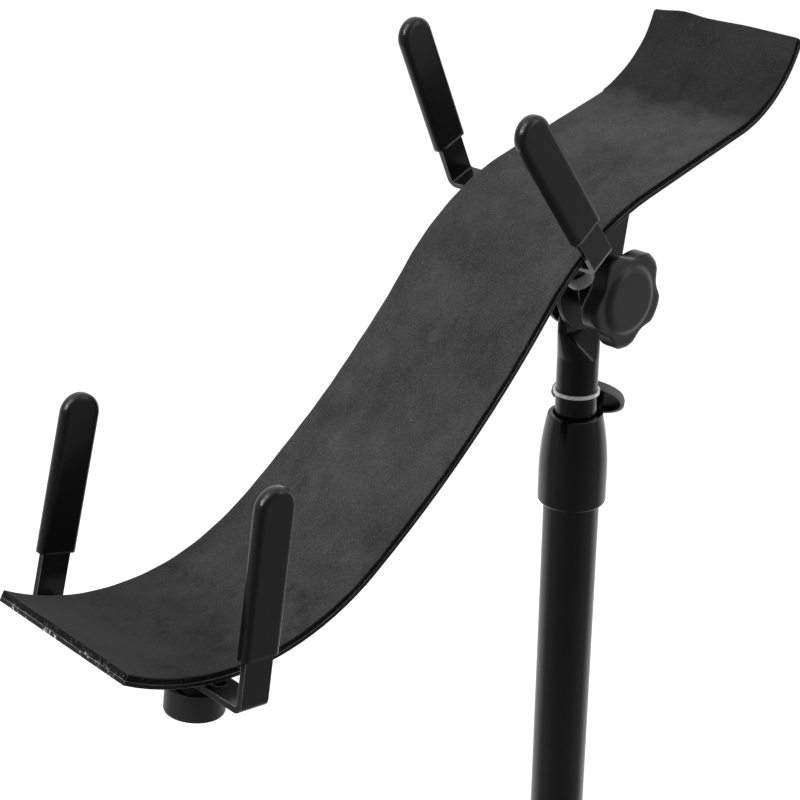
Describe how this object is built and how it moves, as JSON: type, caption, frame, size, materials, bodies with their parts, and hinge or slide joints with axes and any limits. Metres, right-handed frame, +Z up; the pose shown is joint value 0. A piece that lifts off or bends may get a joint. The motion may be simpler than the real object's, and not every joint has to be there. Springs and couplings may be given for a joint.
{
  "type": "guitar stand",
  "caption": "Guitar stand with a padded S-curved cradle, four sliding finger arms, a tilting head and a telescopic pole on a folding tripod base.",
  "frame": {"origin": "pole axis at floor level, under the centre of the base", "axes": "+Z up along the pole, X along the cradle with its low end at -X, Y across the cradle"},
  "size_m": [0.6399, 0.556, 0.8548],
  "materials": {
    "steel_black": "satin",
    "foam": "matte",
    "bright_steel": "satin",
    "brass_insert": "satin",
    "plastic_matte": "matte",
    "plastic_gloss": "gloss",
    "tube_black": "satin",
    "hub_cast": "matte",
    "rubber_foot": "matte"
  },
  "bodies": {
    "base": {"hub": "hub_cast", "hub_screw": "bright_steel", "outer_tube": "tube_black", "clamp_collar": "plastic_gloss", "collar_pins": "bright_steel", "leg_pins": "bright_steel", "leg_nuts": "bright_steel"},
    "swivel": {"guide_bush": "plastic_matte"},
    "mast": {"inner_tube": "tube_black", "height_ring": "bright_steel", "tube_stop": "plastic_matte"},
    "cradle": {"cradle_plate": "steel_black", "cradle_pad": "foam", "tilt_bracket": "steel_black", "bracket_studs": "bright_steel", "bracket_nuts": "bright_steel", "arm_studs": "bright_steel", "arm_spacers": "bright_steel", "far_washers": "bright_steel", "far_nuts": "bright_steel", "pivot_bolt": "bright_steel", "pivot_washers": "bright_steel"},
    "tilt_knob": {"star_knob": "plastic_matte", "star_insert": "brass_insert"},
    "height_knob": {"clamp_knob": "plastic_matte", "clamp_screw": "bright_steel"},
    "slide_near_low": {"arm_near_low": "steel_black", "sleeve_near_low": "plastic_gloss"},
    "slide_far_low": {"arm_far_low": "steel_black", "sleeve_far_low": "plastic_gloss"},
    "slide_near_up": {"arm_near_up": "steel_black", "sleeve_near_up": "plastic_gloss"},
    "slide_far_up": {"arm_far_up": "steel_black", "sleeve_far_up": "plastic_gloss"},
    "cup_near_low": {"knob_near_low": "plastic_matte", "insert_near_low": "brass_insert"},
    "cup_near_up": {"knob_near_up": "plastic_matte", "insert_near_up": "brass_insert"},
    "leg_front": {"leg_tube_front": "tube_black", "leg_knuckle_front": "hub_cast", "leg_foot_front": "rubber_foot"},
    "leg_left": {"leg_tube_left": "tube_black", "leg_knuckle_left": "hub_cast", "leg_foot_left": "rubber_foot"},
    "leg_right": {"leg_tube_right": "tube_black", "leg_knuckle_right": "hub_cast", "leg_foot_right": "rubber_foot"}
  },
  "joints": [
    {"name": "mast_swivel", "type": "hinge", "parent": "base", "child": "swivel", "pos_m": [0, 0, 0.6], "axis": [0, 0, 1], "continuous": true},
    {"name": "height", "type": "slide", "parent": "swivel", "child": "mast", "axis": [0, 0, 1], "range_m": [-0.01, 0.33]},
    {"name": "tilt", "type": "hinge", "parent": "mast", "child": "cradle", "pos_m": [0, 0, 0.72], "axis": [0, 1, 0], "range_deg": [-40, 60]},
    {"name": "tilt_knob_turn", "type": "hinge", "parent": "cradle", "child": "tilt_knob", "pos_m": [0, 0, 0.72], "axis": [0, -1, 0], "continuous": true},
    {"name": "arm_near_low_slide", "type": "slide", "parent": "cradle", "child": "slide_near_low", "axis": [0, -1, 0], "range_m": [-0.0151, 0.0227]},
    {"name": "arm_far_low_slide", "type": "slide", "parent": "cradle", "child": "slide_far_low", "axis": [0, 1, 0], "range_m": [-0.0122, 0.0256]},
    {"name": "arm_near_up_slide", "type": "slide", "parent": "cradle", "child": "slide_near_up", "axis": [0, -1, 0], "range_m": [-0.0012, 0.0366]},
    {"name": "arm_far_up_slide", "type": "slide", "parent": "cradle", "child": "slide_far_up", "axis": [0, 1, 0], "range_m": [-0.0121, 0.0257]},
    {"name": "knob_near_low_turn", "type": "hinge", "parent": "cradle", "child": "cup_near_low", "pos_m": [-0.27186, -0.0275, 0.60723], "axis": [-0.1346, 0, -0.9909], "continuous": true},
    {"name": "knob_near_up_turn", "type": "hinge", "parent": "cradle", "child": "cup_near_up", "pos_m": [-0.04072, -0.0275, 0.74865], "axis": [0.5983, 0, -0.8013], "continuous": true},
    {"name": "height_knob_turn", "type": "hinge", "parent": "base", "child": "height_knob", "pos_m": [0.00976, 0.00508, 0.6295], "axis": [0.6162, 0.3208, 0.7193], "continuous": true},
    {"name": "leg_front_fold", "type": "hinge", "parent": "base", "child": "leg_front", "pos_m": [0.038, 0, 0.078], "axis": [0, -1, 0], "range_deg": [0, 103]},
    {"name": "leg_left_fold", "type": "hinge", "parent": "base", "child": "leg_left", "pos_m": [-0.019, 0.03291, 0.078], "axis": [0.866, 0.5, 0], "range_deg": [0, 103]},
    {"name": "leg_right_fold", "type": "hinge", "parent": "base", "child": "leg_right", "pos_m": [-0.019, -0.03291, 0.078], "axis": [-0.866, 0.5, 0], "range_deg": [0, 103]}
  ]
}
